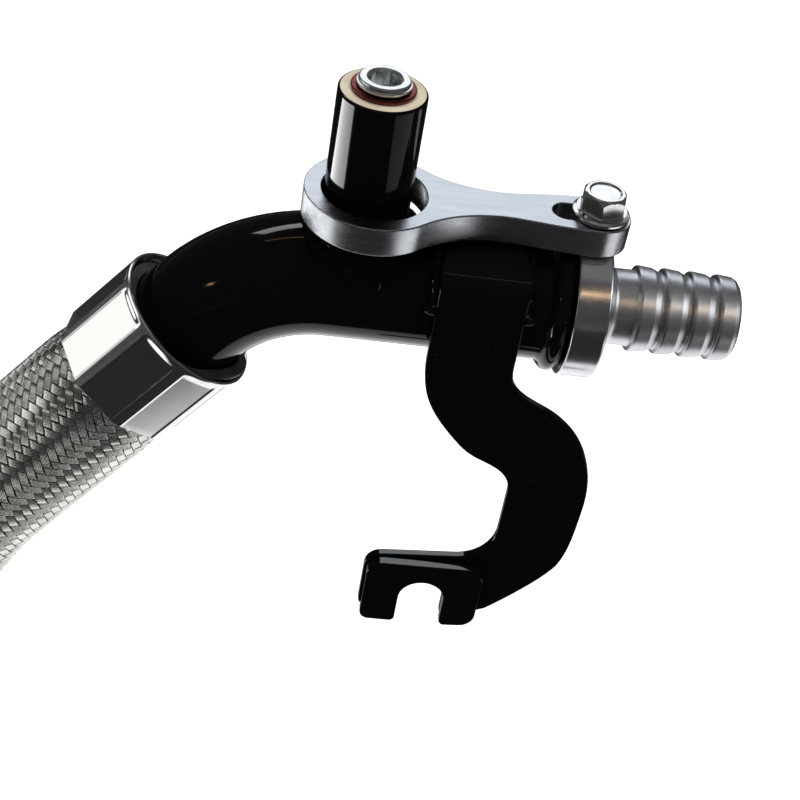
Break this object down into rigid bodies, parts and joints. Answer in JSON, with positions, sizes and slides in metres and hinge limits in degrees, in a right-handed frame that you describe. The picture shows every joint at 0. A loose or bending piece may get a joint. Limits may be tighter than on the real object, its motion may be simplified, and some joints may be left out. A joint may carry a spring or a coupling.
{
  "type": "fuel line nozzle",
  "caption": "End of a braided fuel or fluid line: bent black pipe with a plugged port post, bolted clamp plate, barbed hose tail, S-shaped bracket and crimped braided hose.",
  "frame": {"origin": "middle of the foot slot, on the rear face of the foot that is bolted down", "axes": "+X along the straight pipe toward the barbed end, +Y out of the rear face of the foot toward whatever it is bolted to, +Z along the port post toward its plug"},
  "size_m": [0.2988, 0.0527, 0.6004],
  "materials": {
    "black_paint": "gloss",
    "machined_aluminium": "brushed",
    "zinc": "bright plated",
    "bright_steel": "satin",
    "copper": "satin",
    "stainless": "polished",
    "wire_braid": "steel wire braid over a rubber hose",
    "rubber": "matte"
  },
  "bodies": {
    "line": {"elbow_pipe": "black_paint", "port_post": "black_paint", "port_weld": "black_paint", "barb_adapter": "machined_aluminium", "seal_ring_inner": "rubber", "seal_ring_outer": "rubber", "s_bracket": "black_paint", "foot_spacer": "black_paint", "bracket_weld_left": "black_paint", "bracket_weld_right": "black_paint", "ferrule_near": "stainless", "hose_end_near": "rubber", "braided_hose": "wire_braid", "ferrule_far": "stainless", "hose_end_far": "rubber", "tube_far": "stainless"},
    "clamp": {"clamp_plate": "machined_aluminium"},
    "bolt": {"clamp_bolt": "zinc"},
    "washer": {"plug_washer": "copper"},
    "plug": {"port_plug": "bright_steel"}
  },
  "joints": [
    {"name": "clamp_lift", "type": "slide", "parent": "line", "child": "clamp", "axis": [0, 0, 1], "range_m": [0, 0.05]},
    {"name": "bolt_unscrew", "type": "slide", "parent": "clamp", "child": "bolt", "axis": [0, 0, 1], "range_m": [0, 0.022]},
    {"name": "plug_lift", "type": "slide", "parent": "line", "child": "washer", "axis": [0, 0, 1], "range_m": [0, 0.0135]},
    {"name": "plug_turn", "type": "hinge", "parent": "washer", "child": "plug", "pos_m": [-0.0376, 0.0198, 0.1845], "axis": [0, 0, 1], "range_deg": [0, 3240]}
  ],
  "couplings": [
    {"joint": "plug_turn", "follows": "plug_lift", "rad_per_m": 4188.8}
  ]
}
